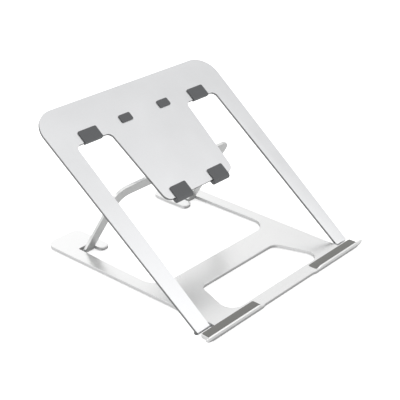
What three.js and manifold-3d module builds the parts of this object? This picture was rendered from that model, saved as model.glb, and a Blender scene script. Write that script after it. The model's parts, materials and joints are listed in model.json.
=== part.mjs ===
// A folding laptop stand in sheet aluminium: a flat base, a tray hinged to the front of the base,
// and a prop that is hinged near the rear of the base, stands up under the tray's tongue,
// and folds down into the opening of the base.
//
// Millimetres and degrees. X points right, Y to the rear, Z up. The origin is on the table,
// under the middle of the stand's outline. Left and right halves mirror each other about X = 0.

import * as THREE from 'three';
import { mergeVertices } from 'three/addons/utils/BufferGeometryUtils.js';
import Module from 'manifold-3d';

const manifold = await Module();
manifold.setup();

// ---------------------------------------------------------------- driving dimensions

const GAP = 0.3;                 // air left between pieces that touch
const SIDES = [['left', -1], ['right', 1]];

// Hinges: steel pins that lie in the thickness of the plates
const PIN_DIAMETER = 2;
const PIN_CHAMFER = 0.3;
const PIN_BITE = 10;             // length of a tray pin inside the base, and inside a tray leg
const TAB_PIN_BITE = 7;          // length of a prop pin inside its tab and its side bar
const KNUCKLE_RADIUS = 2.3;      // rolled ends of the tray legs and of the prop's feet
const SPACER_THICKNESS = 1.5;    // washers between the base and the tray legs
const SPACER_DIAMETER = 4.4;
const WASHER_THICKNESS = 0.9;    // washers on both sides of each prop foot
const WASHER_DIAMETER = 3.8;

// Base plate. Distances along Y count from the tray hinge, which is the zero of the plan.
const BASE_THICKNESS = 4;
const BASE_FRONT_WIDTH = 195;
const BASE_FLARE = 3.6;          // how much each side has moved outwards at the rear edge
const BASE_FRONT = 17.1;
const EAR_CORNER = 12;
const EAR_INNER_CORNER = 9;
const EAR_LENGTH = 34.2;         // from the notches to the rear edge
const SIDE_BAR_WIDTH = 12.1;     // beside the rear opening, at the hinge line
const REAR_OPENING_START = 78.5;
const REAR_OPENING_CORNER = 20;
const BAND_WIDTH = 30.7;         // cross band between the two openings
const FRONT_OPENING_REAR_MARGIN = 41.3;   // from the base's side to the opening, at its rear edge
const FRONT_OPENING_FRONT_MARGIN = 25;    // and at its front edge
const FRONT_OPENING_START = -3.2;
const FRONT_OPENING_REAR_CORNER = 9;
const FRONT_OPENING_FRONT_CORNER = 13;
const PROP_PIVOT = 185.8;        // distance from the tray hinge to the prop hinge
const NOTCH_BEHIND_PIVOT = 6;
const TAB_WIDTH = 12.8;          // tabs that carry the inner ends of the prop's pins
const TAB_AHEAD_OF_PIVOT = 11.5;
const TAB_CORNER = 5.5;

// Front lips: the widened front corners of the base, with pads and a low upturned rim
const LIP_OVERHANG = 18.8;       // how far the lips stand out past the base's sides
const LIP_INNER_WIDTH = 80;
const LIP_STEP = 1.1;            // how far the lips stand in front of the base's front edge
const LIP_BEHIND = 5.6;          // distance from the tray hinge to the rear edge of the lips
const LIP_CORNER = 4;
const RIM_THICKNESS = 1.6;
const RIM_HEIGHT = 3;
const RIM_LEAN = 0.95;
const RIM_OVERHANG = 4.7;        // how far the rim's round outer end stands out past the lip
const RIM_END_HEIGHT = 4.8;
const RIM_END_RADIUS = 2.2;
const RIM_TURN_RADIUS = 8;       // under the rim, where it leaves the lip
const RIM_START = 3;             // from the lip's inner end to the start of the rim
const RIM_RAMP = 6;
const RIM_RAMP_RADIUS = 6;
const RIM_FRONT_LIP = 0.7;       // rounding of the rim's upper edges
const RIM_REAR_LIP = 0.5;
const LIP_STEP_SLOPE = 4;        // length along X of the step from the base's front to the lip's
const LIP_STEP_START_RADIUS = 4;
const LIP_STEP_END_RADIUS = 2;
const LIP_REAR_CORNER = 2;
const LIP_REAR_ROOT = 1.2;       // where the lip meets the base's side
const NOTCH_CORNER = 1.5;
const LIP_PAD_THICKNESS = 1.1;
const LIP_PAD_RECESS = 0.9;
const LIP_PAD_END_MARGIN = 1;    // from the pad to the outer end of the lip
const LIP_PAD_INNER_MARGIN = 3.8;
const LIP_PAD_EDGE_MARGIN = 0.6;
const LIP_PAD_CORNER = 2;

// Tray plate: a rear band, two legs and a tongue between them. Distances along the tray count
// from the tray hinge.
const TRAY_THICKNESS = 3;
const TRAY_LENGTH = 256.6;
const TRAY_LEG_WIDTH = 16.7;
const TRAY_FLARE = 8.2;          // how much each side has moved outwards at the rear edge
const TRAY_CORNER = 24.5;
const TRAY_LEG_CORNER = 2.5;
const TRAY_BAND_LENGTH = 45.3;   // from the slots' closed ends to the rear edge
const SLOT_CORNER = 6;
const TONGUE_AHEAD_OF_CATCH = 27.2;
const TONGUE_REAR_WIDTH = 109;
const TONGUE_FRONT_WIDTH = 98;
const TONGUE_CORNER = 9;

// Silicone pads on the tray. The band pads turn down over the slots' ends; the tongue pads wrap
// round the tongue's front edge.
const PAD_THICKNESS = 0.9;
const PAD_CORNER = 1.6;
const PAD_LIP = 0.5;             // rounding of a pad's free edges
const BAND_PAD_WIDTH = 23.5;
const BAND_PAD_COVER = 13;       // length on the plate
const BAND_PAD_NOSE = 1.1;       // how far the pad stands out past the plate's edge
const BAND_PAD_NOSE_RADIUS = 0.9;
const TONGUE_PAD_WIDTH = 22;
const TONGUE_PAD_COVER = 11.8;
const TONGUE_PAD_CENTRE = 27.4;
const TONGUE_PAD_NOSE = 5;
const TONGUE_PAD_NOSE_RADIUS = 3.4;
const TONGUE_PAD_BOTTOM = 2.6;   // thickness under the plate
const TONGUE_PAD_RETURN = 7;     // length under the plate
const DOT_WIDTH = 15.2;
const DOT_LENGTH = 9;
const DOT_CENTRE = 27.1;
const DOT_BEHIND_SLOT = 9;       // from the slots' closed end to the middle of the small pads

// Prop: an arch whose feet turn on pins in the base and whose crossbar carries the tongue
const PROP_THICKNESS = 3;
const PROP_LEG_WIDTH = 12.6;
const PROP_SIDE_CLEARANCE = 1.5; // to the sides of the opening that it folds into
const PROP_END_CLEARANCE = 0.8;  // to the cross band when folded
const PROP_BAR_WIDTH = 16.3;
const PROP_INNER_CORNER = 11;
const PROP_CORNER_EASE = 5;      // how much tighter its outer corners are than the opening's
const PROP_NOSE_HEIGHT = 2.8;    // raised middle of the crossbar
const PROP_NOSE_WIDTH = 92;
const PROP_NOSE_CORNER = 2.5;
const PROP_NOSE_SLOPE = 2;       // length along X of each end of the raised middle
const LOCK_ANGLE = 94.7;         // between the prop and the tray when the stand is set up

// Catch under the tongue: a seat for the crossbar with a stop behind it
const CATCH_WIDTH = 44;
const CATCH_SEAT_THICKNESS = 3;
const CATCH_SEAT_LENGTH = 10;
const CATCH_STOP_THICKNESS = 2.4;
const CATCH_STOP_DEPTH = 2.6;
const CATCH_HEEL_LENGTH = 7;
const CATCH_LIP = 0.4;           // rounding of the catch's free edges
const CATCH_STOP_HEEL_RADIUS = 0.8;
const CATCH_HEEL_RADIUS = 0.6;
const LINER_THICKNESS = 0.8;
const LINER_MARGIN = 1;
const LINER_CORNER = 0.6;
const LINER_EDGE_BREAK = 0.15;
const SCREW_DIAMETER = 2.5;
const SCREW_HEAD_DIAMETER = 4.4;
const SCREW_HEAD_DEPTH = 1;
const SCREW_BITE = 1.9;          // depth of the screws in the tray plate
const SCREW_SUNK = 0.2;          // how far the heads lie below the catch's face
const SCREW_CENTRE = 15;

const FOOT_DIAMETER = 8;
const FOOT_THICKNESS = 1.5;
const FOOT_SOLE_INSET = 0.5;     // chamfer round the sole
const FOOT_SOLE_RISE = 0.4;
const FOOT_EDGE_MARGIN = 3;
const REAR_FOOT_BEHIND_PIVOT = 3.2;
const FRONT_FOOT_EDGE = 4;       // from the outer end of a lip to its foot

const EDGE_BREAK = 0.3;          // chamfer on the long edges of the plates
const PAD_EDGE_BREAK = 0.25;
const ARC_TOLERANCE = 0.02;      // largest distance between an arc and its chords
const CUT_OVERRUN = 1;           // how far a cut runs past the faces that it opens
const BORE_STEPS = 20;           // faces round a bore, a screw or foot, a pin and a knuckle
const ROUND_STEPS = 24;
const PIN_STEPS = 28;
const KNUCKLE_STEPS = 40;
const FOOT_KNUCKLE_STEPS = 36;

// ---------------------------------------------------------------- sizes that follow

const rad = THREE.MathUtils.degToRad;

const baseFrontSide = BASE_FRONT_WIDTH / 2;
const notchEnd = PROP_PIVOT + NOTCH_BEHIND_PIVOT;
const baseRear = notchEnd + EAR_LENGTH;
const baseSideAt = (y) => baseFrontSide + (BASE_FLARE / baseRear) * y;
const openingSide = baseFrontSide - SIDE_BAR_WIDTH;
const propSide = openingSide - PROP_SIDE_CLEARANCE;
const propInner = propSide - PROP_LEG_WIDTH;
const washerSpace = WASHER_THICKNESS + 2 * GAP;
const tabOuter = propInner - washerSpace;
const tabInner = tabOuter - TAB_WIDTH;

const trayInner = baseFrontSide + SPACER_THICKNESS + 2 * GAP;
const trayOuterAt = (v) => trayInner + TRAY_LEG_WIDTH + (TRAY_FLARE / TRAY_LENGTH) * v;
const trayTop = KNUCKLE_RADIUS;
const trayUnderside = trayTop - TRAY_THICKNESS;
const slotEnd = TRAY_LENGTH - TRAY_BAND_LENGTH;

const propReach = PROP_PIVOT - REAR_OPENING_START - PROP_END_CLEARANCE;
const propShoulder = propReach - PROP_NOSE_HEIGHT;
const propCorner = REAR_OPENING_CORNER - PROP_CORNER_EASE;

// The crossbar's end lies under the liner, the liner under the seat, the seat under the tongue.
const seatLevel = trayUnderside - GAP - CATCH_SEAT_THICKNESS;
const linerLevel = seatLevel - GAP - LINER_THICKNESS;
const lean = rad(LOCK_ANGLE - 90);
const propEndLevel = linerLevel - GAP - (PROP_THICKNESS / 2) * Math.sin(lean);
const trayTilt = Math.asin((propReach * Math.cos(lean) - propEndLevel) / PROP_PIVOT);
const propTilt = rad(LOCK_ANGLE) - trayTilt;
const propEnd = PROP_PIVOT * Math.cos(trayTilt) + propReach * Math.sin(lean);

const lipFront = -(BASE_FRONT + LIP_STEP);
const lipOuter = baseFrontSide + LIP_OVERHANG;
const lipInner = LIP_INNER_WIDTH / 2;
const hingeHeight = BASE_THICKNESS / 2;

// Places along the tray: the crossbar stands on the liner, its rear face against the stop.
const catchStop = propEnd + PROP_THICKNESS / 2 + CATCH_STOP_DEPTH * Math.tan(lean) + GAP;
const catchFront = catchStop - CATCH_SEAT_LENGTH;
const catchHeel = catchStop + CATCH_STOP_THICKNESS;
const catchRear = catchHeel + CATCH_HEEL_LENGTH;
const screwPlace = (catchHeel + catchRear) / 2;
const tongueFoot = catchFront - TONGUE_AHEAD_OF_CATCH;
const bandPadCentre = (TONGUE_REAR_WIDTH / 2 + trayInner) / 2;

// ---------------------------------------------------------------- shapes and solids

// Points along an arc, close enough together to stay within the tolerance.
function arcPoints(centre, radius, from, sweep) {
  const widest = 2 * Math.acos(1 - Math.min(ARC_TOLERANCE / radius, 1));
  const steps = Math.ceil(Math.abs(sweep) / widest) + 1;
  return Array.from({ length: steps + 1 }, (_, i) => {
    const angle = from + (sweep * i) / steps;
    return new THREE.Vector2(Math.cos(angle), Math.sin(angle)).multiplyScalar(radius).add(centre);
  });
}

// A closed outline of straight edges; each corner is [x, y] or [x, y, radius].
function outline(corners) {
  const points = corners.map(([x, y]) => new THREE.Vector2(x, y));
  return new THREE.Shape(points.flatMap((corner, i) => {
    const radius = corners[i][2] ?? 0;
    if (radius === 0) return [corner];
    const before = points.at(i - 1).clone().sub(corner).normalize();
    const after = points[(i + 1) % points.length].clone().sub(corner).normalize();
    const half = Math.acos(THREE.MathUtils.clamp(before.dot(after), -1, 1)) / 2;
    const start = corner.clone().addScaledVector(before, radius / Math.tan(half));
    const inwards = before.clone().add(after).normalize();
    const centre = corner.clone().addScaledVector(inwards, radius / Math.sin(half));
    const from = Math.atan2(start.y - centre.y, start.x - centre.x);
    const turn = Math.PI - 2 * half;
    return arcPoints(centre, radius, from, before.cross(after) > 0 ? -turn : turn);
  }));
}

const mirrored = (corners) => corners.map(([x, ...rest]) => [-x, ...rest]).reverse();

// Corners of the right half, from front to rear, completed with the left half.
const bothHalves = (corners) => outline([...corners, ...mirrored(corners)]);

const rectangle = (x0, y0, x1, y1, radius = 0) =>
  outline([[x0, y0, radius], [x1, y0, radius], [x1, y1, radius], [x0, y1, radius]]);

const circle = (radius) =>
  new THREE.Shape(arcPoints(new THREE.Vector2(), radius, 0, 2 * Math.PI).slice(1));

function extrude(shape, from, to, edge = 0) {
  const geometry = new THREE.ExtrudeGeometry(shape, {
    depth: to - from - 2 * edge,
    bevelEnabled: edge > 0,
    bevelSegments: 1,
    bevelSize: edge,
    bevelOffset: -edge,
    bevelThickness: edge,
  });
  return geometry.translate(0, 0, from + edge);
}

// An outline drawn in Y and Z, extruded along X.
const alongX = new THREE.Matrix4().makeBasis(
  new THREE.Vector3(0, 1, 0), new THREE.Vector3(0, 0, 1), new THREE.Vector3(1, 0, 0));
const extrudeX = (shape, from, to, edge = 0) => extrude(shape, from, to, edge).applyMatrix4(alongX);

// An outline drawn in X and Z, extruded along Y.
const extrudeY = (shape, from, to) => extrude(shape, -to, -from).rotateX(Math.PI / 2);

function solid(geometry) {
  const bare = geometry.clone();
  bare.deleteAttribute('normal');
  bare.deleteAttribute('uv');
  const merged = mergeVertices(bare, 1e-4);
  return new manifold.Manifold(new manifold.Mesh({
    numProp: 3,
    vertProperties: new Float32Array(merged.attributes.position.array),
    triVerts: new Uint32Array(merged.index.array),
  }));
}

function geometryOf(body) {
  const { vertProperties, triVerts } = body.getMesh();
  const geometry = new THREE.BufferGeometry();
  geometry.setAttribute('position', new THREE.BufferAttribute(new Float32Array(vertProperties), 3));
  geometry.setIndex(new THREE.BufferAttribute(new Uint32Array(triVerts), 1));
  geometry.computeVertexNormals();
  return geometry;
}

// A rod along X, with an optional chamfer on both ends.
function rod(radius, from, to, chamfer = 0, steps = PIN_STEPS) {
  const length = to - from;
  const profile = chamfer > 0
    ? [[0, 0], [radius - chamfer, 0], [radius, chamfer], [radius, length - chamfer],
      [radius - chamfer, length], [0, length]]
    : [[0, 0], [radius, 0], [radius, length], [0, length]];
  const lathe = new THREE.LatheGeometry(profile.map(([x, y]) => new THREE.Vector2(x, y)), steps);
  return lathe.rotateZ(-Math.PI / 2).translate(from, 0, 0);
}

// X from the middle outwards on one side, put in rising order.
const span = (side, near, far) => (side > 0 ? [near, far] : [-far, -near]);

const pinBore = (side, near, far) =>
  solid(rod(PIN_DIAMETER / 2 + GAP, ...span(side, near, far), 0, BORE_STEPS));

// ---------------------------------------------------------------- finishes

const finish = (name, color, metalness, roughness) =>
  new THREE.MeshStandardMaterial({ name, color, metalness, roughness });

const ALUMINIUM = finish('satin aluminium', 0xdfe1e2, 0.9, 0.38);
const STEEL = finish('steel pin', 0xb4b6b8, 1, 0.25);
const SILICONE = finish('grey silicone', 0x68696a, 0, 0.75);
const RUBBER = finish('black rubber', 0x2a2a2b, 0, 0.85);
const NYLON = finish('grey nylon', 0x8b8d8f, 0, 0.55);

function piece(name, geometry, material) {
  const mesh = new THREE.Mesh(geometry, material);
  mesh.name = name;
  return mesh;
}

// ---------------------------------------------------------------- base

// The rim of one lip: a leaning strip that ramps up from the plate at its inner end. Its outer end
// is round and stands out past the lip.
function lipRim(side) {
  const start = lipInner + RIM_START;
  const end = lipOuter + RIM_OVERHANG;
  const underside = EDGE_BREAK - BASE_THICKNESS;
  const section = outline([
    [lipFront + EDGE_BREAK, underside],
    [lipFront + RIM_THICKNESS, underside],
    [lipFront + RIM_THICKNESS, 0],
    [lipFront + RIM_THICKNESS - RIM_LEAN, RIM_HEIGHT, RIM_REAR_LIP],
    [lipFront - RIM_LEAN, RIM_HEIGHT, RIM_FRONT_LIP],
  ]);
  const front = outline([
    [start, -BASE_THICKNESS],
    [lipOuter - LIP_CORNER, -BASE_THICKNESS, RIM_TURN_RADIUS],
    [end, RIM_HEIGHT - RIM_END_HEIGHT, RIM_END_RADIUS],
    [end, RIM_HEIGHT, RIM_END_RADIUS],
    [start + RIM_RAMP, RIM_HEIGHT, RIM_RAMP_RADIUS],
    [start, 0],
  ]);
  const bar = solid(extrudeX(section, start, end));
  const rim = bar.intersect(solid(extrudeY(
    front, lipFront - RIM_LEAN - CUT_OVERRUN, lipFront + RIM_THICKNESS + CUT_OVERRUN)));
  return side > 0 ? rim : rim.mirror([1, 0, 0]);
}

function lipPadOutline(side, margin) {
  const near = lipInner + LIP_PAD_INNER_MARGIN - margin;
  const far = lipOuter - LIP_PAD_END_MARGIN + margin;
  const [x0, x1] = span(side, near, far);
  return rectangle(
    x0, lipFront + RIM_THICKNESS + GAP - margin, x1, -LIP_BEHIND - LIP_PAD_EDGE_MARGIN + margin,
    LIP_PAD_CORNER + margin);
}

function makeBase() {
  const group = new THREE.Group();
  const tabTip = PROP_PIVOT - TAB_AHEAD_OF_PIVOT;
  const right = [
    [lipInner - LIP_STEP_SLOPE / 2, -BASE_FRONT, LIP_STEP_START_RADIUS],
    [lipInner + LIP_STEP_SLOPE / 2, lipFront, LIP_STEP_END_RADIUS],
    [lipOuter, lipFront, LIP_CORNER],
    [lipOuter, -LIP_BEHIND, LIP_REAR_CORNER],
    [baseSideAt(-LIP_BEHIND), -LIP_BEHIND, LIP_REAR_ROOT],
    [baseSideAt(baseRear), baseRear, EAR_CORNER],
    [tabInner, baseRear, EAR_INNER_CORNER],
    [tabInner, tabTip, TAB_CORNER],
    [tabOuter, tabTip, TAB_CORNER],
    [tabOuter, notchEnd, NOTCH_CORNER],
    [openingSide, notchEnd, NOTCH_CORNER],
    [openingSide, REAR_OPENING_START, REAR_OPENING_CORNER],
  ];
  const plate = bothHalves(right);
  const bandFront = REAR_OPENING_START - BAND_WIDTH;
  plate.holes.push(bothHalves([
    [baseFrontSide - FRONT_OPENING_FRONT_MARGIN, FRONT_OPENING_START, FRONT_OPENING_FRONT_CORNER],
    [baseFrontSide - FRONT_OPENING_REAR_MARGIN, bandFront, FRONT_OPENING_REAR_CORNER],
  ]));
  let body = solid(extrude(plate, -BASE_THICKNESS, 0, EDGE_BREAK));

  for (const [, side] of SIDES) {
    body = body.add(lipRim(side));
    body = body.subtract(solid(extrude(lipPadOutline(side, GAP), -LIP_PAD_RECESS, CUT_OVERRUN)));
    const trayBore = pinBore(side, baseFrontSide - PIN_BITE - GAP, lipOuter);
    body = body.subtract(trayBore.translate([0, 0, -hingeHeight]));
    const propBore = pinBore(side, tabOuter - TAB_PIN_BITE - GAP, openingSide + TAB_PIN_BITE + GAP);
    body = body.subtract(propBore.translate([0, PROP_PIVOT, -hingeHeight]));
  }
  group.add(piece('base_plate', geometryOf(body), ALUMINIUM));

  for (const [name, side] of SIDES) {
    const padBottom = GAP - LIP_PAD_RECESS;
    const pad = extrude(
      lipPadOutline(side, 0), padBottom, padBottom + LIP_PAD_THICKNESS, PAD_EDGE_BREAK);
    group.add(piece(`lip_pad_${name}`, pad, SILICONE));

    const rearY = PROP_PIVOT + REAR_FOOT_BEHIND_PIVOT;
    const rearX = baseSideAt(rearY) - FOOT_EDGE_MARGIN - FOOT_DIAMETER / 2;
    const frontX = lipOuter - FRONT_FOOT_EDGE - FOOT_DIAMETER / 2;
    const frontY = (lipFront - LIP_BEHIND) / 2;
    group.add(foot(`foot_rear_${name}`, side * rearX, rearY));
    group.add(foot(`foot_front_${name}`, side * frontX, frontY));
  }
  return group;
}

function foot(name, x, y) {
  const radius = FOOT_DIAMETER / 2;
  const profile = [
    [0, 0], [radius - FOOT_SOLE_INSET, 0], [radius, FOOT_SOLE_RISE],
    [radius, FOOT_THICKNESS], [0, FOOT_THICKNESS],
  ];
  const lathe = new THREE.LatheGeometry(profile.map(([r, z]) => new THREE.Vector2(r, z)), ROUND_STEPS);
  const mesh = piece(name, lathe.rotateX(Math.PI / 2), RUBBER);
  mesh.position.set(x, y, -BASE_THICKNESS - GAP - FOOT_THICKNESS);
  return mesh;
}

// ---------------------------------------------------------------- tray

function makeTray() {
  const group = new THREE.Group();
  const right = [
    [TONGUE_FRONT_WIDTH / 2, tongueFoot, TONGUE_CORNER],
    [TONGUE_REAR_WIDTH / 2, slotEnd, SLOT_CORNER],
    [trayInner, slotEnd, SLOT_CORNER],
    [trayInner, 0],
    [trayOuterAt(0), 0],
    [trayOuterAt(TRAY_LENGTH), TRAY_LENGTH, TRAY_CORNER],
  ];
  let body = solid(extrude(bothHalves(right), trayUnderside, trayTop, EDGE_BREAK));

  const legEnd = outline([
    [trayInner, -KNUCKLE_RADIUS, TRAY_LEG_CORNER],
    [trayOuterAt(0), -KNUCKLE_RADIUS, TRAY_LEG_CORNER],
    [trayOuterAt(0), KNUCKLE_RADIUS + EDGE_BREAK],
    [trayInner, KNUCKLE_RADIUS + EDGE_BREAK],
  ]);
  const knuckle = solid(rod(KNUCKLE_RADIUS, trayInner, trayOuterAt(0), 0, KNUCKLE_STEPS))
    .intersect(solid(extrude(legEnd, -KNUCKLE_RADIUS - CUT_OVERRUN, KNUCKLE_RADIUS + CUT_OVERRUN)));
  for (const [, side] of SIDES) {
    body = body.add(side > 0 ? knuckle : knuckle.mirror([1, 0, 0]));
    body = body.subtract(pinBore(side, trayInner - CUT_OVERRUN, trayInner + PIN_BITE + GAP));
  }
  for (const [, side] of SIDES) {
    const hole = new THREE.CylinderGeometry(
      SCREW_DIAMETER / 2 + GAP, SCREW_DIAMETER / 2 + GAP, SCREW_BITE + GAP + CUT_OVERRUN, BORE_STEPS);
    hole.rotateX(Math.PI / 2);
    hole.translate(side * SCREW_CENTRE, screwPlace, trayUnderside + (SCREW_BITE + GAP - CUT_OVERRUN) / 2);
    body = body.subtract(solid(hole));
  }
  group.add(piece('tray_plate', geometryOf(body), ALUMINIUM));

  for (const [name, side] of SIDES) {
    group.add(padAcross(`band_pad_${name}`, bandPadSection(), side * bandPadCentre, BAND_PAD_WIDTH));
    group.add(padAcross(
      `tongue_pad_${name}`, tonguePadSection(), side * TONGUE_PAD_CENTRE, TONGUE_PAD_WIDTH));
    const dot = rectangle(-DOT_WIDTH / 2, -DOT_LENGTH / 2, DOT_WIDTH / 2, DOT_LENGTH / 2, PAD_CORNER);
    const mesh = piece(`small_pad_${name}`, extrude(dot, 0, PAD_THICKNESS, PAD_EDGE_BREAK), SILICONE);
    mesh.position.set(side * DOT_CENTRE, slotEnd + DOT_BEHIND_SLOT, trayTop + GAP);
    group.add(mesh);
  }
  for (const mesh of catchPieces()) group.add(mesh);
  return group;
}

const padAcross = (name, section, x, width) =>
  piece(name, extrudeX(section, x - width / 2, x + width / 2, PAD_EDGE_BREAK), SILICONE);

// Across a band pad: it lies on the plate and turns down over the end of a slot.
function bandPadSection() {
  const underFace = trayTop + GAP;
  const top = underFace + PAD_THICKNESS;
  const nose = slotEnd - BAND_PAD_NOSE;
  return outline([
    [slotEnd + BAND_PAD_COVER, underFace],
    [slotEnd + BAND_PAD_COVER, top, PAD_LIP],
    [nose, top, BAND_PAD_NOSE_RADIUS],
    [nose, trayUnderside],
    [slotEnd - GAP, trayUnderside],
    [slotEnd - GAP, underFace],
  ]);
}

// Across a tongue pad: it wraps round the tongue's front edge.
function tonguePadSection() {
  const underFace = trayTop + GAP;
  const overFace = trayUnderside - GAP;
  const top = underFace + PAD_THICKNESS;
  const bottom = overFace - TONGUE_PAD_BOTTOM;
  const nose = tongueFoot - TONGUE_PAD_NOSE;
  return outline([
    [tongueFoot + TONGUE_PAD_COVER, underFace],
    [tongueFoot + TONGUE_PAD_COVER, top, PAD_LIP],
    [nose, top, TONGUE_PAD_NOSE_RADIUS],
    [nose, bottom, TONGUE_PAD_NOSE_RADIUS],
    [tongueFoot + TONGUE_PAD_RETURN, bottom, PAD_LIP],
    [tongueFoot + TONGUE_PAD_RETURN, overFace],
    [tongueFoot - GAP, overFace],
    [tongueFoot - GAP, underFace],
  ]);
}

function catchPieces() {
  const top = trayUnderside - GAP;
  const stopLevel = linerLevel - CATCH_STOP_DEPTH;
  const half = CATCH_WIDTH / 2;
  const section = outline([
    [catchFront, seatLevel, CATCH_LIP],
    [catchStop, seatLevel],
    [catchStop, stopLevel, CATCH_LIP],
    [catchHeel, stopLevel, CATCH_STOP_HEEL_RADIUS],
    [catchHeel, seatLevel],
    [catchRear, seatLevel, CATCH_HEEL_RADIUS],
    [catchRear, top],
    [catchFront, top],
  ]);
  let block = solid(extrudeX(section, -half, half, EDGE_BREAK));
  const meshes = [];
  for (const [name, side] of SIDES) {
    const hole = solid(new THREE.LatheGeometry(screwProfile(GAP), ROUND_STEPS).rotateX(Math.PI / 2));
    block = block.subtract(hole.translate([side * SCREW_CENTRE, screwPlace, seatLevel]));
    const screw = new THREE.LatheGeometry(screwProfile(0), ROUND_STEPS).rotateX(Math.PI / 2);
    const mesh = piece(`catch_screw_${name}`, screw, STEEL);
    mesh.position.set(side * SCREW_CENTRE, screwPlace, seatLevel);
    meshes.push(mesh);
  }
  meshes.unshift(piece('prop_catch', geometryOf(block), ALUMINIUM));

  const liner = rectangle(
    LINER_MARGIN - half, catchFront + LINER_MARGIN, half - LINER_MARGIN, catchStop - GAP, LINER_CORNER);
  meshes.push(piece(
    'catch_liner', extrude(liner, linerLevel, linerLevel + LINER_THICKNESS, LINER_EDGE_BREAK),
    SILICONE));
  return meshes;
}

// Half section of a countersunk screw, from its head (at zero) to its tip; a clearance makes it
// the section of the hole instead.
function screwProfile(clearance) {
  const tip = trayUnderside - seatLevel + SCREW_BITE;
  const head = SCREW_HEAD_DIAMETER / 2 + clearance;
  const shank = SCREW_DIAMETER / 2 + clearance;
  const start = clearance > 0 ? -CUT_OVERRUN : SCREW_SUNK;
  const end = clearance > 0 ? tip + CUT_OVERRUN : tip;
  const drop = SCREW_HEAD_DEPTH + clearance;
  return [[0, start], [head, start], [head, SCREW_SUNK], [shank, drop], [shank, end], [0, end]]
    .filter(([, y], i, all) => i === 0 || y !== all[i - 1][1] || all[i][0] !== all[i - 1][0])
    .map(([r, y]) => new THREE.Vector2(r, y));
}

// ---------------------------------------------------------------- prop

function makeProp() {
  const noseHalf = PROP_NOSE_WIDTH / 2;
  const innerBar = propShoulder - PROP_BAR_WIDTH;
  const right = [
    [propInner, 0],
    [propSide, 0],
    [propSide, propShoulder, propCorner],
    [noseHalf + PROP_NOSE_SLOPE / 2, propShoulder, PROP_NOSE_CORNER],
    [noseHalf - PROP_NOSE_SLOPE / 2, propReach, PROP_NOSE_CORNER],
  ];
  const arch = outline([
    ...right,
    ...mirrored(right),
    [-propInner, innerBar, PROP_INNER_CORNER],
    [propInner, innerBar, PROP_INNER_CORNER],
  ]);
  let body = solid(extrude(arch, -PROP_THICKNESS / 2, PROP_THICKNESS / 2, EDGE_BREAK));
  for (const [, side] of SIDES) {
    const width = span(side, propInner, propSide);
    body = body.add(solid(rod(KNUCKLE_RADIUS, ...width, EDGE_BREAK, FOOT_KNUCKLE_STEPS)));
    body = body.subtract(pinBore(side, propInner - CUT_OVERRUN, propSide + CUT_OVERRUN));
  }
  const group = new THREE.Group();
  group.add(piece('prop_arch', geometryOf(body), ALUMINIUM));
  return group;
}

// ---------------------------------------------------------------- hinge hardware

function washer(name, diameter, from, to) {
  const ring = circle(diameter / 2);
  ring.holes.push(circle(PIN_DIAMETER / 2 + GAP));
  return piece(name, extrudeX(ring, from, to), NYLON);
}

function makeHardware() {
  const group = new THREE.Group();
  for (const [name, side] of SIDES) {
    const trayPin = rod(
      PIN_DIAMETER / 2, ...span(side, baseFrontSide - PIN_BITE, trayInner + PIN_BITE), PIN_CHAMFER);
    group.add(piece(`tray_pin_${name}`, trayPin, STEEL));
    const spacer = span(side, baseFrontSide + GAP, baseFrontSide + GAP + SPACER_THICKNESS);
    group.add(washer(`tray_spacer_${name}`, SPACER_DIAMETER, ...spacer));

    const pinEnds = span(side, tabOuter - TAB_PIN_BITE, openingSide + TAB_PIN_BITE);
    const propPin = piece(`prop_pin_${name}`, rod(PIN_DIAMETER / 2, ...pinEnds, PIN_CHAMFER), STEEL);
    const inner = span(side, tabOuter + GAP, tabOuter + GAP + WASHER_THICKNESS);
    const outer = span(side, propSide + GAP, propSide + GAP + WASHER_THICKNESS);
    const washers = [
      washer(`prop_washer_inner_${name}`, WASHER_DIAMETER, ...inner),
      washer(`prop_washer_outer_${name}`, WASHER_DIAMETER, ...outer),
    ];
    for (const mesh of [propPin, ...washers]) {
      mesh.position.y = PROP_PIVOT;
      group.add(mesh);
    }
  }
  return group;
}

// ---------------------------------------------------------------- assembly

// Plan zero is the tray hinge, and height zero here is the middle of the base plate.
const stand = new THREE.Group();
const base = makeBase();
base.position.z = hingeHeight;
const tray = makeTray();
tray.rotation.x = trayTilt;
const prop = makeProp();
prop.position.y = PROP_PIVOT;
prop.rotation.x = Math.PI - propTilt;
stand.add(base, tray, prop, makeHardware());

const bounds = new THREE.Box3().setFromObject(stand, true);
stand.position.set(0, -(bounds.min.y + bounds.max.y) / 2, -bounds.min.z);

export default stand;
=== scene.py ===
import json
import math

import bpy
import bmesh
from bpy.props import FloatProperty, FloatVectorProperty, IntProperty, PointerProperty
from mathutils import Matrix, Vector


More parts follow.
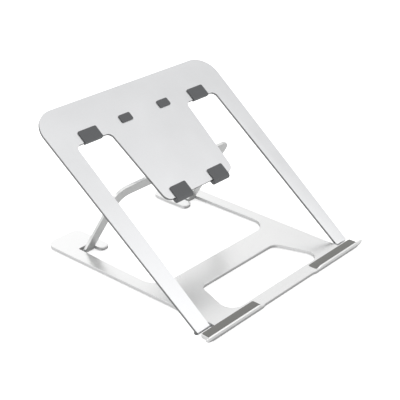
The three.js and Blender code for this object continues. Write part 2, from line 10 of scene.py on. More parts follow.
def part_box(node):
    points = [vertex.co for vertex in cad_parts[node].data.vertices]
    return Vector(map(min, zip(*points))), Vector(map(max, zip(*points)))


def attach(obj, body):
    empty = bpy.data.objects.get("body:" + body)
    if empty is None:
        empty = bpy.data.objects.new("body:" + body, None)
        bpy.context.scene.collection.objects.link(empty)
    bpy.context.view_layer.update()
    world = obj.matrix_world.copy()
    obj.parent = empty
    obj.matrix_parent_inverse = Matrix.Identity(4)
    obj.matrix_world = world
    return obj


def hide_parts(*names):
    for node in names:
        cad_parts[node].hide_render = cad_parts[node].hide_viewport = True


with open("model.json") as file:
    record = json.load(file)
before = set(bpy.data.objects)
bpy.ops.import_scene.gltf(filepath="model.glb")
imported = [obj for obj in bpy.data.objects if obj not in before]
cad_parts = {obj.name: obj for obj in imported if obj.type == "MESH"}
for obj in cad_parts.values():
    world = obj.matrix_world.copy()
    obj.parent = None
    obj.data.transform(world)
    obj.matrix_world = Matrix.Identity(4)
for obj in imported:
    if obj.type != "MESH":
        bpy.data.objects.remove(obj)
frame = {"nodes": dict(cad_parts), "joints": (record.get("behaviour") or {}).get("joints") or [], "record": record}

bl_info = {
    "name": "Folding Laptop Stand",
    "version": (1, 0, 0),
    "blender": (4, 5, 0),
    "location": "View3D > Sidebar > Stand",
    "description": "Finishes a folding sheet-metal laptop stand: plates, pads, feet, fixings and a studio",
    "category": "Object",
}

MM = 0.001
TINY = 1e-5              # how far apart two places may be and still count as one
WELD = 1e-6              # vertices closer than this are merged
SQUARE_ON = 0.9          # a face looks along an axis when its normal passes this
ROUND_ANGLE = 40         # degrees; sharper edges stay sharp
SHEET_ANGLE = 50         # the same, for the sheets
SHEET_FLAT = 0.3         # degrees; faces of a sheet that meet at less than this are joined
PAD_FLAT = 1             # the same, for the pads
FACE_WEIGHT = 100        # how strongly large faces set the shading
SENSOR = 36              # millimetres
SIDES = ("left", "right")

# The finish: detail of its two noises, the parts of them that are used, and what those parts do.
GRAIN_DETAIL, GRAIN_ROUGHNESS, GRAIN_RANGE = 2.0, 0.6, (0.25, 0.75)
CLOUD_DETAIL, CLOUD_SCALE, CLOUD_RANGE = 3.0, 22.0, (0.3, 0.7)
GRAIN_TINT, CLOUD_TINT, CLOUD_MATT = (0.955, 1.03), (0.985, 1.012), (-0.03, 0.03)
EDGE_TO_FACE = (0.25, 0.7)   # how squarely a surface looks along the sheet's normal, from edge to face; sets where the painted edge light goes
SIDE_TO_FRONT = (0.4, 0.8)   # how squarely it looks forwards, from no painted shade to full painted shade
LOW_TO_HIGH = (0.3, 0.75)    # upward part of a direction, from the backdrop's brightness to the overhead one
ROUND_TO_RIGHT = (0.55, 0.8)  # its +X part, from the factor all round to the one at the right
ROUGHNESS = {"catch": 0.4, "pin": 0.22, "tray_pad": 0.62, "lip_pad": 0.6, "foot": 0.75, "washer": 0.45}
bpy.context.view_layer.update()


# ---------------------------------------------------------------- places taken from the frame

def mount(name):
    """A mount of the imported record, by name."""
    return next(m for m in frame["record"]["mounts"] if m["name"] == name)


def joint(name):
    """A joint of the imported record, by name."""
    return next(j for j in frame["joints"] if j["name"] == name)


def tray_frame():
    """The tray's own axes, from the hinge line: X right, Y up along the sheet, Z out of its upper face."""
    normal = Vector(mount("laptop_underside_rest")["axis"])
    return (Matrix.Translation(joint("tray_tilt")["pos_m"])
            @ Matrix.Rotation(math.atan2(-normal.y, normal.z), 4, "X"))


def box_in(axes, node):
    """(lowest corner, highest corner) of a CAD node, measured along other axes."""
    back = axes.inverted()
    points = [back @ v.co for v in frame["nodes"][node].data.vertices]
    low = Vector([min(p[i] for p in points) for i in range(3)])
    high = Vector([max(p[i] for p in points) for i in range(3)])
    return low, high


# ---------------------------------------------------------------- settings

class StudioSettings(bpy.types.PropertyGroup):
    """Camera, floor and lights."""

    azimuth: FloatProperty(
        name="Azimuth", description="Direction that the camera looks in, from +Y towards +X",
        default=math.radians(47.75), subtype="ANGLE", unit="ROTATION")
    elevation: FloatProperty(
        name="Elevation", description="How far the camera looks down",
        default=math.radians(26.67), subtype="ANGLE", unit="ROTATION")
    roll: FloatProperty(
        name="Roll", description="Turn of the camera about its own line of sight",
        default=math.radians(-0.41), subtype="ANGLE", unit="ROTATION")
    distance: FloatProperty(
        name="Distance", description="From the camera to the point that it looks at",
        default=0.9794, subtype="DISTANCE", unit="LENGTH")
    target: FloatVectorProperty(
        name="Target", description="The point that the camera looks at",
        default=(-0.0008, -0.0048, 0.0610), subtype="XYZ", unit="LENGTH")
    lens: FloatProperty(
        name="Lens", description="Focal length on a 36 mm sensor", default=87.46, subtype="DISTANCE_CAMERA")
    floor_colour: FloatVectorProperty(
        name="Floor", description="Colour of the floor", default=(0.86, 0.86, 0.86), subtype="COLOR")
    floor_glow: FloatProperty(
        name="Floor Glow", description="Light that the floor gives off, except where metal mirrors it",
        default=0.62)
    floor_mirror: FloatProperty(
        name="Floor In Metal", description="Lightness of the floor where the metal mirrors it", default=0.8)
    sky: FloatProperty(
        name="Backdrop", description="Brightness of the backdrop low down", default=1.05)
    zenith: FloatProperty(
        name="Overhead", description="Brightness of the backdrop high up", default=0.8)
    sky_round: FloatProperty(
        name="All Round", description="Factor on the backdrop's brightness, except towards +X", default=1.12)
    sky_right: FloatProperty(
        name="Right", description="Factor on the backdrop's brightness towards +X", default=0.8)
    key_size: FloatProperty(
        name="Key Size", description="Side of the large light",
        default=1.2, subtype="DISTANCE", unit="LENGTH")
    key_place: FloatVectorProperty(
        name="Key Place", description="Middle of the large light", default=(0.75, -1.15, 1.1),
        subtype="XYZ", unit="LENGTH")
    key_aim: FloatVectorProperty(
        name="Key Aim", description="The point that the large light faces", default=(0, 0, 0.05),
        subtype="XYZ", unit="LENGTH")
    floor_size: FloatProperty(
        name="Floor Size", description="Side of the floor", default=8, subtype="DISTANCE", unit="LENGTH")
    key_power: FloatProperty(
        name="Key Light", description="Power of the large light over the stand", default=2.5, unit="POWER")


class MetalSettings(bpy.types.PropertyGroup):
    """Finish of the sheet metal and of the fixings."""

    tray_colour: FloatVectorProperty(
        name="Tray", description="Colour of the tray's anodised aluminium",
        default=(0.86, 0.865, 0.875), subtype="COLOR")
    base_colour: FloatVectorProperty(
        name="Base", description="Colour of the base's anodised aluminium",
        default=(0.96, 0.962, 0.96), subtype="COLOR")
    # Painted shade: the prop is the same aluminium as the tray, painted darker for the darker floor that it
    # mirrors.
    prop_shaded_colour: FloatVectorProperty(
        name="Prop", description="Colour of the prop's anodised aluminium",
        default=(0.62, 0.625, 0.62), subtype="COLOR")
    satin: FloatProperty(
        name="Satin", description="Roughness of the anodised faces", default=0.34, subtype="FACTOR")
    grain: FloatProperty(
        name="Grain", description="Size of the blasted grain",
        default=0.00035, subtype="DISTANCE", unit="LENGTH")
    pin_grain: FloatProperty(
        name="Pin Grain", description="Size of the grain of the ground steel",
        default=0.0002, subtype="DISTANCE", unit="LENGTH")
    catch_colour: FloatVectorProperty(
        name="Catch", description="Colour of the catch's aluminium",
        default=(0.7, 0.71, 0.72), subtype="COLOR")
    pin_colour: FloatVectorProperty(
        name="Pins", description="Colour of the pins and screws",
        default=(0.55, 0.56, 0.57), subtype="COLOR")
    base_gloss: FloatProperty(
        name="Base Gloss", description="How much less rough than the tray the base is", default=0.04)
    # The three edge brightnesses are painted light for what the cut edges mirror: painted shade on the tray and
    # base, painted highlight on the prop.
    tray_edge_painted_shade: FloatProperty(
        name="Tray Edges", description="Brightness of the tray's cut edges", default=0.3)
    base_edge_painted_shade: FloatProperty(
        name="Base Edges", description="Brightness of the base's cut edges", default=0.92)
    prop_edge_painted_highlight: FloatProperty(
        name="Prop Edges", description="Brightness of the prop's cut edges", default=1.5)
    # Painted shade: the base's front-facing edges are painted darker below the shade line.
    front_shade: FloatProperty(
        name="Front Edges", description="Brightness of the base's front-facing edges below the shade line",
        default=0.55, subtype="FACTOR")
    shade_line: FloatProperty(
        name="Shade Line", description="Height above the table where that shade ends",
        default=0.0046, subtype="DISTANCE", unit="LENGTH")


class PadSettings(bpy.types.PropertyGroup):
    """Finish and rounding of the silicone pads and the rubber feet."""

    tray_pad_colour: FloatVectorProperty(
        name="Tray Pads", description="Colour of the silicone on the tray",
        default=(0.1, 0.103, 0.107), subtype="COLOR")
    lip_pad_colour: FloatVectorProperty(
        name="Lip Pads", description="Colour of the silicone on the lips",
        default=(0.2, 0.2, 0.19), subtype="COLOR")
    foot_colour: FloatVectorProperty(
        name="Feet", description="Colour of the rubber feet",
        default=(0.03, 0.03, 0.032), subtype="COLOR")
    washer_colour: FloatVectorProperty(
        name="Washers", description="Colour of the nylon washers",
        default=(0.32, 0.33, 0.34), subtype="COLOR")
    grain: FloatProperty(
        name="Grain", description="Size of the moulded texture",
        default=0.0006, subtype="DISTANCE", unit="LENGTH")
    sole_edge: FloatProperty(
        name="Sole Edge", description="Radius round the soles of the feet",
        default=0.00045, subtype="DISTANCE", unit="LENGTH")
    foot_steps: IntProperty(name="Foot Steps", description="Faces round a foot", default=48)
    corner: FloatProperty(
        name="Corner", description="Radius of the pads' corners in plan",
        default=0.0016, subtype="DISTANCE", unit="LENGTH")
    gap: FloatProperty(
        name="Gap", description="Air between the pads and the sheet",
        default=0.0003, subtype="DISTANCE", unit="LENGTH")
    tongue_wall: FloatProperty(
        name="Tongue Wall", description="Thickness of a tongue pad in front of the sheet's edge",
        default=0.0047, subtype="DISTANCE", unit="LENGTH")
    tongue_nose: FloatProperty(
        name="Tongue Nose", description="Radius of a tongue pad's nose",
        default=0.0034, subtype="DISTANCE", unit="LENGTH")
    tongue_return: FloatProperty(
        name="Tongue Return", description="Length of a tongue pad's lower leaf with its nose",
        default=0.012, subtype="DISTANCE", unit="LENGTH")
    under_leaf: FloatProperty(
        name="Lower Leaf", description="Thickness of a tongue pad under the sheet",
        default=0.0026, subtype="DISTANCE", unit="LENGTH")
    band_wall: FloatProperty(
        name="Band Wall", description="Thickness of a band pad in front of the sheet's edge",
        default=0.0008, subtype="DISTANCE", unit="LENGTH")
    band_nose: FloatProperty(
        name="Band Nose", description="Radius of a band pad's nose",
        default=0.0007, subtype="DISTANCE", unit="LENGTH")
    edge: FloatProperty(
        name="Edge", description="Radius of the pads' upper edges",
        default=0.00035, subtype="DISTANCE", unit="LENGTH")
    steps: IntProperty(name="Edge Steps", description="Faces across a rounded edge", default=4)
    corner_steps: IntProperty(name="Corner Steps", description="Faces round a corner in plan", default=6)
    nose_steps: IntProperty(name="Nose Steps", description="Faces round a nose", default=8)


# ---------------------------------------------------------------- modelling helpers

def only(obj):
    """Makes obj the one selected and active object."""
    bpy.ops.object.select_all(action="DESELECT")
    obj.select_set(True)
    bpy.context.view_layer.objects.active = obj


def edit(obj):
    """Enters edit mode on obj with nothing selected."""
    only(obj)
    bpy.ops.object.mode_set(mode="EDIT")
    bpy.ops.mesh.select_mode(type="FACE")
    bpy.ops.mesh.select_all(action="DESELECT")


def pick_faces(obj, test):
    """Selects the faces that pass the test, in edit mode."""
    mesh = bmesh.from_edit_mesh(obj.data)
    bpy.ops.mesh.select_mode(type="FACE")
    bpy.ops.mesh.select_all(action="DESELECT")
    mesh.faces.ensure_lookup_table()
    for face in mesh.faces:
        if test(face):
            face.select_set(True)
    bmesh.update_edit_mesh(obj.data)


def pick_edges(obj, test):
    """Selects the edges that pass the test, in edit mode."""
    mesh = bmesh.from_edit_mesh(obj.data)
    bpy.ops.mesh.select_mode(type="EDGE")
    bpy.ops.mesh.select_all(action="DESELECT")
    mesh.edges.ensure_lookup_table()
    for edge in mesh.edges:
        if test(edge):
            edge.select_set(True)
    bmesh.update_edit_mesh(obj.data)


def leave_edit(obj):
    bpy.ops.object.mode_set(mode="OBJECT")
    only(obj)


def settle(obj):
    """Puts the piece's place into its mesh."""
    only(obj)
    bpy.ops.object.transform_apply(location=True, rotation=True, scale=True)


def tidy_normals(obj):
    edit(obj)
    bpy.ops.mesh.select_all(action="SELECT")
    bpy.ops.mesh.remove_doubles(threshold=WELD)
    bpy.ops.mesh.normals_make_consistent(inside=False)
    leave_edit(obj)


def smooth(obj, angle=ROUND_ANGLE):
    """Smooth shading that keeps flat faces flat."""
    only(obj)
    bpy.ops.object.shade_smooth_by_angle(angle=math.radians(angle))
    bpy.ops.object.modifier_add(type="WEIGHTED_NORMAL")
    obj.modifiers[-1].keep_sharp = True
    obj.modifiers[-1].weight = FACE_WEIGHT
    bpy.ops.object.modifier_apply(modifier=obj.modifiers[-1].name)


def block(name, low, high):
    """A box between two corners, as a new object."""
    bpy.ops.object.select_all(action="DESELECT")
    bpy.ops.mesh.primitive_cube_add(size=1, location=(low + high) / 2)
    obj = bpy.context.object
    obj.name = obj.data.name = name
    obj.scale = high - low
    settle(obj)
    return obj


def finish_piece(obj, body, slot, material, *nodes):
    """Gives a finished piece its body and material, and hides the CAD nodes that it stands for; slot is not used.
    """
    obj.data.materials.clear()
    obj.data.materials.append(material)
    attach(obj, body)
    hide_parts(*nodes)


# ---------------------------------------------------------------- materials

def new_group(name, inputs, outputs):
    """A shader node group with named inputs and outputs, and nothing between them."""
    group = bpy.data.node_groups.new(name, "ShaderNodeTree")
    for label, kind, value in inputs:
        socket = group.interface.new_socket(label, in_out="INPUT", socket_type=kind)
        socket.default_value = value
    for label, kind in outputs:
        group.interface.new_socket(label, in_out="OUTPUT", socket_type=kind)
    return group


def add(tree, kind, **values):
    """A node with its settings."""
    node = tree.nodes.new(kind)
    for key, value in values.items():
        setattr(node, key, value)
    return node


def ramp(tree, value, source, target, curve="LINEAR"):
    """The value moved from the source range to the target range."""
    node = add(tree, "ShaderNodeMapRange", interpolation_type=curve)
    node.inputs["From Min"].default_value, node.inputs["From Max"].default_value = source
    node.inputs["To Min"].default_value, node.inputs["To Max"].default_value = target
    tree.links.new(value, node.inputs["Value"])
    return node.outputs["Result"]


def facing_shade(tree, direction, source, target, both_ways=False):
    """A factor that follows how far the surface faces a direction, or either way along it; the metals use it for
    painted light and shade.
    """
    shape = add(tree, "ShaderNodeNewGeometry")
    along = add(tree, "ShaderNodeVectorMath", operation="DOT_PRODUCT")
    along.inputs[1].default_value = direction
    tree.links.new(shape.outputs["True Normal"], along.inputs[0])
    value = along.outputs["Value"]
    if both_ways:
        size = add(tree, "ShaderNodeMath", operation="ABSOLUTE")
        tree.links.new(value, size.inputs[0])
        value = size.outputs[0]
    return ramp(tree, value, source, target)


def tinted(tree, colour, factor):
    """The colour times a factor."""
    node = add(tree, "ShaderNodeVectorMath", operation="SCALE")
    tree.links.new(colour, node.inputs[0])
    tree.links.new(factor, node.inputs["Scale"])
    return node.outputs[0]


def satin_grain_group():
    """Fine grain and broad, faint clouding. Colour varies with both, Roughness with the clouding alone, and
    Height is the grain."""
    group = new_group(
        "SatinGrain",
        [("Vector", "NodeSocketVector", (0, 0, 0)), ("Colour", "NodeSocketColor", (0.8, 0.8, 0.8, 1)),
         ("Roughness", "NodeSocketFloat", 0.35), ("Grain Scale", "NodeSocketFloat", 2800.0),
         ("Contrast", "NodeSocketFloat", 1.0)],
        [("Colour", "NodeSocketColor"), ("Roughness", "NodeSocketFloat"), ("Height", "NodeSocketFloat")])
    entry, leave = group.nodes.new("NodeGroupInput"), group.nodes.new("NodeGroupOutput")
    link = group.links.new
    fine = add(group, "ShaderNodeTexNoise")
    fine.inputs["Detail"].default_value = GRAIN_DETAIL
    fine.inputs["Roughness"].default_value = GRAIN_ROUGHNESS
    link(entry.outputs["Vector"], fine.inputs["Vector"])
    link(entry.outputs["Grain Scale"], fine.inputs["Scale"])
    cloud = add(group, "ShaderNodeTexNoise")
    cloud.inputs["Scale"].default_value = CLOUD_SCALE
    cloud.inputs["Detail"].default_value = CLOUD_DETAIL
    link(entry.outputs["Vector"], cloud.inputs["Vector"])
    both = add(group, "ShaderNodeMath", operation="MULTIPLY")
    link(ramp(group, fine.outputs["Fac"], GRAIN_RANGE, GRAIN_TINT), both.inputs[0])
    link(ramp(group, cloud.outputs["Fac"], CLOUD_RANGE, CLOUD_TINT), both.inputs[1])
    link(tinted(group, entry.outputs["Colour"], both.outputs[0]), leave.inputs["Colour"])
    total = add(group, "ShaderNodeMath", operation="ADD")
    link(entry.outputs["Roughness"], total.inputs[0])
    link(ramp(group, cloud.outputs["Fac"], CLOUD_RANGE, CLOUD_MATT), total.inputs[1])
    link(total.outputs[0], leave.inputs["Roughness"])
    height = add(group, "ShaderNodeMath", operation="MULTIPLY")
    link(fine.outputs["Fac"], height.inputs[0])
    link(entry.outputs["Contrast"], height.inputs[1])
    link(height.outputs[0], leave.inputs["Height"])
    return group


def grained(name, colour, roughness, grain, contrast, depth, strength):
    """A material whose shader takes roughness and bump from the shared grain. Returns its material, shader,
    texture coordinates and grain node; the colour is still to be linked."""
    material = bpy.data.materials.new(name)
    material.use_nodes = True
    tree = material.node_tree
    shader = tree.nodes["Principled BSDF"]
    place = add(tree, "ShaderNodeTexCoord")
    group = add(tree, "ShaderNodeGroup", node_tree=bpy.data.node_groups["SatinGrain"])
    group.inputs["Colour"].default_value = (*colour, 1)
    group.inputs["Roughness"].default_value = roughness
    group.inputs["Grain Scale"].default_value = 1 / grain
    group.inputs["Contrast"].default_value = contrast
    bump = add(tree, "ShaderNodeBump")
    bump.inputs["Strength"].default_value = strength
    bump.inputs["Distance"].default_value = depth
    link = tree.links.new
    link(place.outputs["Object"], group.inputs["Vector"])
    link(group.outputs["Roughness"], shader.inputs["Roughness"])
    link(group.outputs["Height"], bump.inputs["Height"])
    link(bump.outputs["Normal"], shader.inputs["Normal"])
    return material, shader, place, group


def metal(name, colour, roughness, grain, contrast=1.0, face=None, painted_edge_light=1.0, front=None):
    """Satin metal. face is the direction of a sheet's normal; its cut edges are painted as bright as the edge
    factor says:
    painted shade below 1, painted highlight above 1. front is (brightness, height): painted shade, how bright the
    edges that look forwards are below that height."""
    finish, shader, place, group = grained(
        name, colour, roughness, grain, contrast, depth=0.04 * MM, strength=0.12)
    shader.inputs["Metallic"].default_value = 1.0
    tree = finish.node_tree
    colour_out = group.outputs["Colour"]
    # Painted light on the cut edges: the colour times the edge factor where the surface turns away from the
    # sheet's face.
    if face is not None:
        shade = facing_shade(tree, face, EDGE_TO_FACE, (painted_edge_light, 1.0), both_ways=True)
        colour_out = tinted(tree, colour_out, shade)
    # Painted shade on the lower part of the edges that look forwards.
    if front is not None:
        colour_out = tinted(tree, colour_out, front_shade(tree, place, *front))
    tree.links.new(colour_out, shader.inputs["Base Color"])


def front_shade(tree, place, brightness, height):
    """Painted shade for faces that look forwards: a colour factor of the brightness below the height, 1 above it.
    """
    blur = 0.5 * MM
    split = add(tree, "ShaderNodeSeparateXYZ")
    tree.links.new(place.outputs["Object"], split.inputs[0])
    low = ramp(tree, split.outputs["Z"], (height - blur, height + blur), (brightness, 1.0))
    ahead = facing_shade(tree, (0, -1, 0), SIDE_TO_FRONT, (0.0, 1.0))
    mixed = add(tree, "ShaderNodeMix", data_type="FLOAT")
    mixed.inputs["A"].default_value = 1.0
    tree.links.new(ahead, mixed.inputs["Factor"])
    tree.links.new(low, mixed.inputs["B"])
    return mixed.outputs["Result"]


def elastomer(name, colour, roughness, grain):
    """Moulded silicone, rubber or nylon: matt, with a fine moulded texture."""
    finish, shader, _, group = grained(
        name, colour, roughness, grain, contrast=1.0, depth=0.08 * MM, strength=0.25)
    shader.inputs["Specular IOR Level"].default_value = 0.35
    finish.node_tree.links.new(group.outputs["Colour"], shader.inputs["Base Color"])


def material(name):
    return bpy.data.materials[name]


class STAND_OT_materials(bpy.types.Operator):
    """Make the stand's materials"""

    bl_idname = "stand.materials"
    bl_label = "Materials"

    def execute(self, context):
        m, p = context.scene.stand_metal, context.scene.stand_pads
        satin_grain_group()
        tray_normal = mount("laptop_underside_rest")["axis"]
        fold = math.radians(joint("prop_fold")["range_deg"][1])
        prop_normal = (0, math.sin(fold), math.cos(fold))
        metal("Tray Aluminium", m.tray_colour, m.satin, m.grain, face=tray_normal, painted_edge_light=m.tray_edge_painted_shade)
        metal("Base Aluminium", m.base_colour, m.satin - m.base_gloss, m.grain,
              face=(0, 0, 1), painted_edge_light=m.base_edge_painted_shade, front=(m.front_shade, m.shade_line))
        metal("Prop Aluminium", m.prop_shaded_colour, m.satin, m.grain, face=prop_normal, painted_edge_light=m.prop_edge_painted_highlight)
        metal("Catch Aluminium", m.catch_colour, ROUGHNESS["catch"], m.grain)
        metal("Pin Steel", m.pin_colour, ROUGHNESS["pin"], m.pin_grain, contrast=0.4)
        elastomer("Tray Silicone", p.tray_pad_colour, ROUGHNESS["tray_pad"], p.grain)
        elastomer("Lip Silicone", p.lip_pad_colour, ROUGHNESS["lip_pad"], p.grain)
        elastomer("Foot Rubber", p.foot_colour, ROUGHNESS["foot"], p.grain)
        elastomer("Washer Nylon", p.washer_colour, ROUGHNESS["washer"], p.grain)
        return {"FINISHED"}


# ---------------------------------------------------------------- sheet metal

class STAND_OT_plates(bpy.types.Operator):
    """Refine the tray, base and prop sheets"""

    bl_idname = "stand.plates"
    bl_label = "Sheets"

    def execute(self, context):
        for node, name, body, slot, finish in (
                ("tray_plate", "tray_sheet", "tray", "tray_aluminium", "Tray Aluminium"),
                ("base_plate", "base_sheet", "base", "base_aluminium", "Base Aluminium"),
                ("prop_arch", "prop_sheet", "prop", "prop_aluminium", "Prop Aluminium")):
            obj = bpy.data.objects.new(name, frame["nodes"][node].data.copy())
            obj.data.name = name
            context.scene.collection.objects.link(obj)
            edit(obj)
            bpy.ops.mesh.select_all(action="SELECT")
            bpy.ops.mesh.remove_doubles(threshold=WELD)
            bpy.ops.mesh.dissolve_limited(angle_limit=math.radians(SHEET_FLAT))
            leave_edit(obj)
            smooth(obj, SHEET_ANGLE)
            finish_piece(obj, body, slot, material(finish), node)
        return {"FINISHED"}


# ---------------------------------------------------------------- silicone pads

class STAND_OT_folded_pads(bpy.types.Operator):
    """Model the silicone pads that turn over the tray's edges"""

    bl_idname = "stand.folded_pads"
    bl_label = "Folded Pads"

    def execute(self, context):
        p = context.scene.stand_pads
        for side in SIDES:
            self.make(p, f"tongue_pad_{side}", p.tongue_wall, p.tongue_nose, p.tongue_return)
            self.make(p, f"band_pad_{side}", p.band_wall, p.band_nose, 0)
        return {"FINISHED"}

    def make(self, p, node, wall, nose, under):
        """The upper leaf, then the nose pulled down from its front, then the lower leaf pulled back."""
        axes = tray_frame()
        low, high = box_in(axes, node)
        sheet_top = box_in(axes, "tray_plate")[1].z
        leaf_under = sheet_top + p.gap
        obj = block(node + "_silicone", Vector((low.x, low.y, leaf_under)), high)
        edit(obj)
        pick_edges(obj, lambda e: all(abs(v.co.y - high.y) < TINY for v in e.verts) and not level(e))
        bpy.ops.mesh.bevel(offset=p.corner, segments=p.corner_steps, affect="EDGES")
        bpy.ops.mesh.select_all(action="SELECT")
        bpy.ops.mesh.bisect(plane_co=(0, low.y + wall, 0), plane_no=(0, 1, 0))
        pick_faces(obj, lambda f: f.normal.z < -SQUARE_ON and f.calc_center_median().y < low.y + wall)
        lower = low.z + p.under_leaf if under else low.z
        bpy.ops.mesh.extrude_region_move(TRANSFORM_OT_translate={"value": (0, 0, lower - leaf_under)})
        if under:
            bpy.ops.mesh.extrude_region_move(TRANSFORM_OT_translate={"value": (0, 0, low.z - lower)})
            pick_faces(obj, lambda f: f.normal.y > SQUARE_ON and f.calc_center_median().z < lower
                       and f.calc_center_median().y < low.y + wall + TINY)
            bpy.ops.mesh.extrude_region_move(TRANSFORM_OT_translate={"value": (0, under - wall, 0)})
        bpy.ops.mesh.select_all(action="SELECT")
        bpy.ops.mesh.dissolve_limited(angle_limit=math.radians(PAD_FLAT))
        rounded = (low.z, high.z) if under else (high.z,)
        pick_edges(obj, lambda e: level(e) and all(
            abs(v.co.y - low.y) < TINY and min(abs(v.co.z - z) for z in rounded) < TINY for v in e.verts))
        bpy.ops.mesh.bevel(offset=nose, segments=p.nose_steps, affect="EDGES")
        leave_edit(obj)
        bpy.ops.object.modifier_add(type="BEVEL")
        bevel = obj.modifiers[-1]
        bevel.width, bevel.segments = p.edge, p.steps
        bevel.limit_method, bevel.angle_limit = "ANGLE", math.radians(ROUND_ANGLE)
        bpy.ops.object.modifier_apply(modifier=bevel.name)
        obj.matrix_world = axes
        settle(obj)
        tidy_normals(obj)
        smooth(obj)
        finish_piece(obj, "tray", "pad_silicone", material("Tray Silicone"), node)


def level(edge):
    """Whether an edge has the same height at both ends and runs at least partly along X."""
    a, b = edge.verts
    return abs((a.co - b.co).x) > TINY and abs((a.co - b.co).z) < TINY


class STAND_OT_small_pads(bpy.types.Operator):
    """Model the two small pads on the tray"""

    bl_idname = "stand.small_pads"
    bl_label = "Small Pads"

    def execute(self, context):
        axes = tray_frame()
        p = context.scene.stand_pads
        for side in SIDES:
            node = f"small_pad_{side}"
            low, high = box_in(axes, node)
            obj = rounded_slab(p, node + "_silicone", low, high)
            obj.matrix_world = axes
            settle(obj)
            smooth(obj)
            finish_piece(obj, "tray", "pad_silicone", material("Tray Silicone"), node)
        return {"FINISHED"}


def rounded_slab(p, name, low, high):
    """A low block with round corners in plan and a rounded upper edge."""
    obj = block(name, low, high)
    edit(obj)
    pick_edges(obj, lambda e: abs((e.verts[0].co - e.verts[1].co).z) > TINY)
    bpy.ops.mesh.bevel(offset=p.corner, segments=p.corner_steps, affect="EDGES")
    pick_faces(obj, lambda f: f.normal.z > SQUARE_ON)
    bpy.ops.mesh.region_to_loop()
    bpy.ops.mesh.bevel(offset=p.edge, segments=p.steps, affect="EDGES")
    leave_edit(obj)
    return obj


class STAND_OT_lip_pads(bpy.types.Operator):
    """Model the silicone strips on the lips"""

    bl_idname = "stand.lip_pads"
    bl_label = "Lip Pads"

    def execute(self, context):
        p = context.scene.stand_pads
        for side in SIDES:
            node = f"lip_pad_{side}"
            low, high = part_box(node)
            obj = rounded_slab(p, node + "_silicone", low, high)
            smooth(obj)
            finish_piece(obj, "base", "lip_silicone", material("Lip Silicone"), node)
        return {"FINISHED"}


class STAND_OT_feet(bpy.types.Operator):
    """Model the rubber feet"""

    bl_idname = "stand.feet"
    bl_label = "Feet"

    def execute(self, context):
        p = context.scene.stand_pads
        for end in ("front", "rear"):
            for side in SIDES:
                node = f"foot_{end}_{side}"
                low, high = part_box(node)
                bpy.ops.object.select_all(action="DESELECT")
                bpy.ops.mesh.primitive_cylinder_add(
                    vertices=p.foot_steps, radius=(high.x - low.x) / 2, depth=high.z - low.z,
                    location=(low + high) / 2)
                obj = context.object
                obj.name = obj.data.name = node + "_rubber"
                settle(obj)
                edit(obj)
                pick_faces(obj, lambda f: f.normal.z < -SQUARE_ON)
                bpy.ops.mesh.region_to_loop()
                bpy.ops.mesh.bevel(offset=p.sole_edge, segments=p.steps, affect="EDGES")
                leave_edit(obj)
                smooth(obj)
                finish_piece(obj, "base", "foot_rubber", material("Foot Rubber"), node)
        return {"FINISHED"}


class STAND_OT_fixings(bpy.types.Operator):
    """Give the pins, washers, spacers, screws, catch and liner their finish"""

    bl_idname = "stand.fixings"
    bl_label = "Fixings"

    def execute(self, context):
        finishes = (("_pin_", "Pin Steel"), ("_screw_", "Pin Steel"), ("_washer_", "Washer Nylon"),
                    ("_spacer_", "Washer Nylon"), ("prop_catch", "Catch Aluminium"),
                    ("catch_liner", "Tray Silicone"))
        for name, node in frame["nodes"].items():
            for part, finish in finishes:
                if part in name:
                    node.data.materials.clear()
                    node.data.materials.append(material(finish))
        return {"FINISHED"}


# ---------------------------------------------------------------- studio

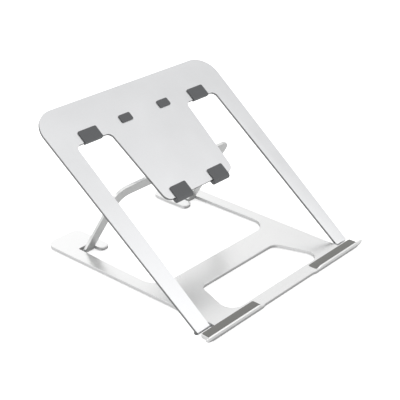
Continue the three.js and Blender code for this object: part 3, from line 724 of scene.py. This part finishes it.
class STAND_OT_studio(bpy.types.Operator):
    """Make the camera, the floor and the lights"""

    bl_idname = "stand.studio"
    bl_label = "Studio"

    def execute(self, context):
        s = context.scene.stand_studio
        self.camera(context, s)
        self.floor(context, s)
        self.world(context, s)
        self.lights(context, s)
        context.scene.view_settings.view_transform = "Standard"
        return {"FINISHED"}

    def camera(self, context, s):
        ahead = Vector((math.sin(s.azimuth) * math.cos(s.elevation),
                        math.cos(s.azimuth) * math.cos(s.elevation),
                        -math.sin(s.elevation)))
        right = Vector((math.cos(s.azimuth), -math.sin(s.azimuth), 0))
        up = right.cross(ahead)
        turn = Matrix.Rotation(s.roll, 3, "Z")
        axes = Matrix((right, up, -ahead)).transposed() @ turn
        data = bpy.data.cameras.new("Camera")
        data.sensor_width = SENSOR
        data.lens = s.lens
        obj = bpy.data.objects.new("Camera", data)
        obj.matrix_world = Matrix.Translation(Vector(s.target) - ahead * s.distance) @ axes.to_4x4()
        context.scene.collection.objects.link(obj)
        context.scene.camera = obj

    def floor(self, context, s):
        bpy.ops.object.select_all(action="DESELECT")
        bpy.ops.mesh.primitive_plane_add(size=s.floor_size, location=(0, 0, 0))
        obj = context.object
        obj.name = "Floor"
        finish = bpy.data.materials.new("Floor")
        finish.use_nodes = True
        tree = finish.node_tree
        tree.nodes.clear()
        link = tree.links.new
        diffuse = add(tree, "ShaderNodeBsdfDiffuse")
        diffuse.inputs["Color"].default_value = (*s.floor_colour, 1)
        glow = add(tree, "ShaderNodeEmission")
        glow.inputs["Color"].default_value = (1, 1, 1, 1)
        glow.inputs["Strength"].default_value = s.floor_glow
        lit = add(tree, "ShaderNodeAddShader")
        link(diffuse.outputs[0], lit.inputs[0])
        link(glow.outputs[0], lit.inputs[1])
        seen = add(tree, "ShaderNodeBsdfDiffuse")
        seen.inputs["Color"].default_value = (s.floor_mirror, s.floor_mirror, s.floor_mirror, 1)
        rays = add(tree, "ShaderNodeLightPath")
        mix = add(tree, "ShaderNodeMixShader")
        link(rays.outputs["Is Glossy Ray"], mix.inputs[0])
        link(lit.outputs[0], mix.inputs[1])
        link(seen.outputs[0], mix.inputs[2])
        out = add(tree, "ShaderNodeOutputMaterial")
        link(mix.outputs[0], out.inputs["Surface"])
        obj.data.materials.append(finish)

    def world(self, context, s):
        world = bpy.data.worlds.new("Backdrop")
        world.use_nodes = True
        tree = world.node_tree
        link = tree.links.new
        ground = tree.nodes["Background"]
        ground.inputs["Color"].default_value = (1, 1, 1, 1)
        place = add(tree, "ShaderNodeTexCoord")
        split = add(tree, "ShaderNodeSeparateXYZ")
        link(place.outputs["Generated"], split.inputs[0])
        upwards = ramp(tree, split.outputs["Z"], LOW_TO_HIGH, (s.sky, s.zenith), "SMOOTHSTEP")
        across = ramp(tree, split.outputs["X"], ROUND_TO_RIGHT, (s.sky_round, s.sky_right))
        both = add(tree, "ShaderNodeMath", operation="MULTIPLY")
        link(upwards, both.inputs[0])
        link(across, both.inputs[1])
        link(both.outputs[0], ground.inputs["Strength"])
        context.scene.world = world

    def lights(self, context, s):
        data = bpy.data.lights.new("Key", "AREA")
        data.shape = "RECTANGLE"
        data.size = data.size_y = s.key_size
        data.energy = s.key_power
        obj = bpy.data.objects.new("Key", data)
        obj.location = s.key_place
        obj.rotation_euler = (Vector(s.key_place) - Vector(s.key_aim)).to_track_quat("Z", "Y").to_euler()
        context.scene.collection.objects.link(obj)


# ---------------------------------------------------------------- panel and registration

class STAND_PT_panel(bpy.types.Panel):
    """The stand's pieces, finishes and studio"""

    bl_label = "Laptop Stand"
    bl_idname = "STAND_PT_panel"
    bl_space_type = "VIEW_3D"
    bl_region_type = "UI"
    bl_category = "Stand"

    def draw(self, context):
        for group in (context.scene.stand_metal, context.scene.stand_pads, context.scene.stand_studio):
            box = self.layout.box()
            for name in group.__annotations__:
                box.prop(group, name)
        for operator in OPERATORS:
            self.layout.operator(operator.bl_idname)


SETTINGS = (StudioSettings, MetalSettings, PadSettings)
OPERATORS = (STAND_OT_materials, STAND_OT_plates, STAND_OT_folded_pads, STAND_OT_small_pads,
             STAND_OT_lip_pads, STAND_OT_feet, STAND_OT_fixings, STAND_OT_studio)
CLASSES = (*SETTINGS, *OPERATORS, STAND_PT_panel)


def register():
    for item in CLASSES:
        bpy.utils.register_class(item)
    bpy.types.Scene.stand_studio = PointerProperty(type=StudioSettings)
    bpy.types.Scene.stand_metal = PointerProperty(type=MetalSettings)
    bpy.types.Scene.stand_pads = PointerProperty(type=PadSettings)


def unregister():
    del bpy.types.Scene.stand_studio, bpy.types.Scene.stand_metal, bpy.types.Scene.stand_pads
    for item in reversed(CLASSES):
        bpy.utils.unregister_class(item)


def main():
    register()
    bpy.ops.stand.materials()
    bpy.ops.stand.plates()
    bpy.ops.stand.folded_pads()
    bpy.ops.stand.small_pads()
    bpy.ops.stand.lip_pads()
    bpy.ops.stand.feet()
    bpy.ops.stand.fixings()
    bpy.ops.stand.studio()


if __name__ == "__main__":
    main()
